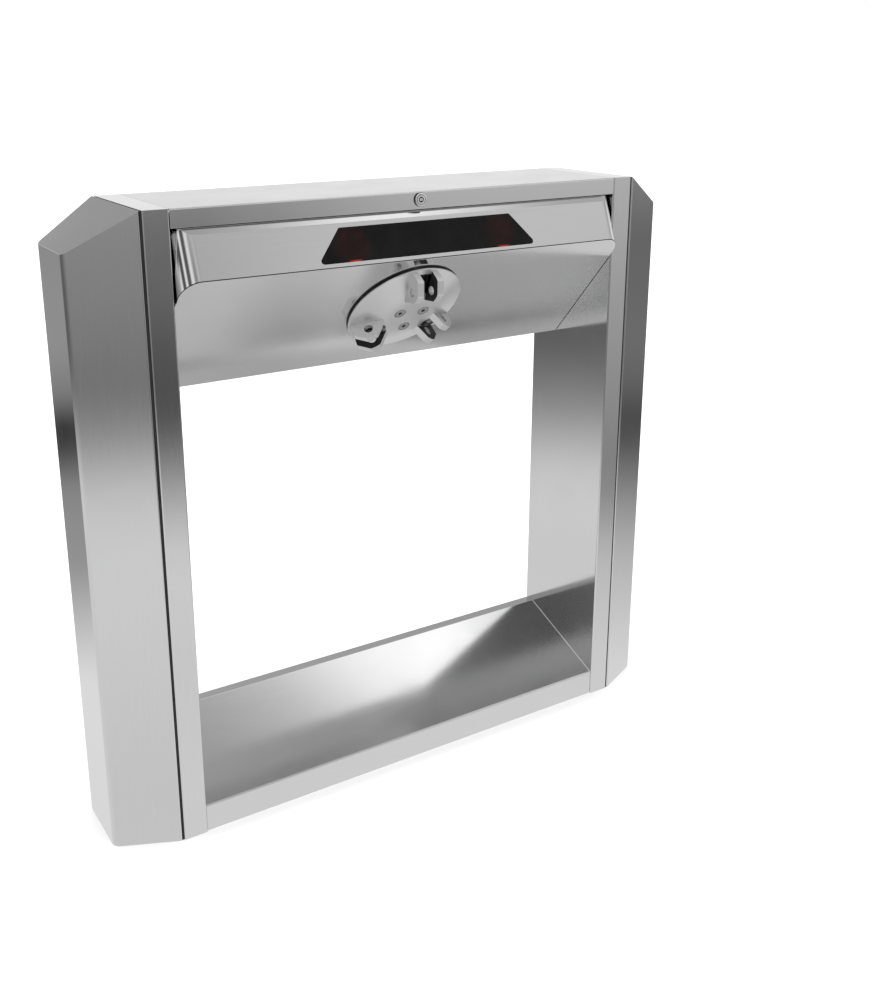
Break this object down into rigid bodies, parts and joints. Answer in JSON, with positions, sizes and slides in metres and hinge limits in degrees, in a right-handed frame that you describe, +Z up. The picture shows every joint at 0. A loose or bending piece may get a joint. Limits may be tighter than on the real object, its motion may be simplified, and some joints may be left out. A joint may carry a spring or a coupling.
{
  "type": "tripod turnstile",
  "caption": "Brushed steel waist-high tripod turnstile, slanted housing, arms not fitted",
  "frame": {"origin": "on the floor, in the middle of the anchor pattern", "axes": "+X along the length to the right, +Y to the rear, +Z up"},
  "size_m": [1.08, 0.2551, 1],
  "materials": {
    "brushed_steel": "fine brushed stainless steel",
    "cast_hub": "satin machined casting",
    "polished_steel": "ground steel",
    "zinc_steel": "zinc plated steel",
    "chrome_lock": "polished chrome",
    "painted_casting": "grey painted steel",
    "black_rubber": "matt rubber",
    "dark_window": "glossy dark tinted plastic",
    "red_lens": "red lens",
    "board_green": "solder resist",
    "black_plastic": "moulded plastic",
    "coil_copper": "yellow plated coil frame",
    "grey_plastic": "moulded plastic",
    "supply_case": "folded aluminium case"
  },
  "bodies": {
    "frame": {"left_post": "brushed_steel", "right_post": "brushed_steel", "base_beam": "brushed_steel", "left_end_cover": "brushed_steel", "right_end_cover": "brushed_steel", "nose_panel": "brushed_steel", "lower_panel": "brushed_steel", "rear_panel": "brushed_steel", "bearing_outer_rings": "polished_steel", "pawl_pins": "polished_steel", "pillars": "polished_steel", "left_foot_plate": "zinc_steel", "right_foot_plate": "zinc_steel", "cover_studs": "zinc_steel", "rear_screws": "zinc_steel", "plate_studs": "zinc_steel", "housing_bolts": "zinc_steel", "lock_keeper": "zinc_steel", "hinge_leaves_fixed": "zinc_steel", "damper_bracket": "zinc_steel", "mechanism_plate": "painted_casting", "back_plate": "painted_casting", "bearing_housing": "painted_casting", "left_cover_gasket": "black_rubber", "right_cover_gasket": "black_rubber", "window_gasket": "black_rubber", "shaft_seal": "black_rubber", "window": "dark_window", "left_light": "red_lens", "right_light": "red_lens", "light_board": "board_green", "control_unit": "board_green", "optical_sensor": "black_plastic", "damper": "black_plastic", "solenoids": "coil_copper", "wiring_trunk": "grey_plastic", "light_pillars": "grey_plastic", "power_supply": "supply_case"},
    "rotor": {"rotor_shaft": "polished_steel", "hub": "cast_hub", "fork_ears": "cast_hub", "hub_screws": "zinc_steel", "locking_disc": "zinc_steel", "shaft_key": "zinc_steel", "encoder_disc": "black_plastic", "shaft_nut": "zinc_steel", "bearing_inner_rings": "polished_steel", "bearing_balls": "polished_steel", "bearing_spacer": "zinc_steel"},
    "lid_assembly": {"lid": "brushed_steel", "hinge_leaves_lid": "zinc_steel", "lock_barrel": "chrome_lock", "lock_clip": "zinc_steel"},
    "lock_rotor": {"lock_plug": "chrome_lock", "lock_cam": "zinc_steel", "cam_screw": "zinc_steel"},
    "pawl_left": {"left_pawl": "zinc_steel"},
    "pawl_right": {"right_pawl": "zinc_steel"},
    "plunger_left": {"left_plunger": "polished_steel"},
    "plunger_right": {"right_plunger": "polished_steel"}
  },
  "joints": [
    {"name": "rotor_spin", "type": "hinge", "parent": "frame", "child": "rotor", "pos_m": [0.0045, -0.05715, 0.81123], "axis": [0, -0.7455, -0.6665], "continuous": true},
    {"name": "lid_hinge", "type": "hinge", "parent": "frame", "child": "lid_assembly", "pos_m": [0, 0.1109, 0.9718], "axis": [-1, 0, 0], "range_deg": [0, 80]},
    {"name": "lock_turn", "type": "hinge", "parent": "lid_assembly", "child": "lock_rotor", "pos_m": [0.006, -0.1065, 0.9875], "axis": [0, -1, 0], "range_deg": [0, 90]},
    {"name": "right_pawl_swing", "type": "hinge", "parent": "frame", "child": "pawl_right", "pos_m": [0.0925, 0.0552, 0.84461], "axis": [0, -0.7455, -0.6665], "range_deg": [0, 9], "stiffness_Nm_per_rad": 0.5, "springref_deg": -17.19},
    {"name": "left_pawl_swing", "type": "hinge", "parent": "frame", "child": "pawl_left", "pos_m": [-0.0835, 0.0552, 0.84461], "axis": [0, 0.7455, 0.6665], "range_deg": [0, 9], "stiffness_Nm_per_rad": 0.5, "springref_deg": -17.19},
    {"name": "right_plunger_slide", "type": "slide", "parent": "frame", "child": "plunger_right", "axis": [-1, 0, 0], "range_m": [0, 0.0061]},
    {"name": "left_plunger_slide", "type": "slide", "parent": "frame", "child": "plunger_left", "axis": [1, 0, 0], "range_m": [0, 0.0061]}
  ],
  "couplings": [
    {"joint": "right_plunger_slide", "follows": "right_pawl_swing", "m_per_rad": 0.038},
    {"joint": "left_plunger_slide", "follows": "left_pawl_swing", "m_per_rad": 0.038}
  ]
}
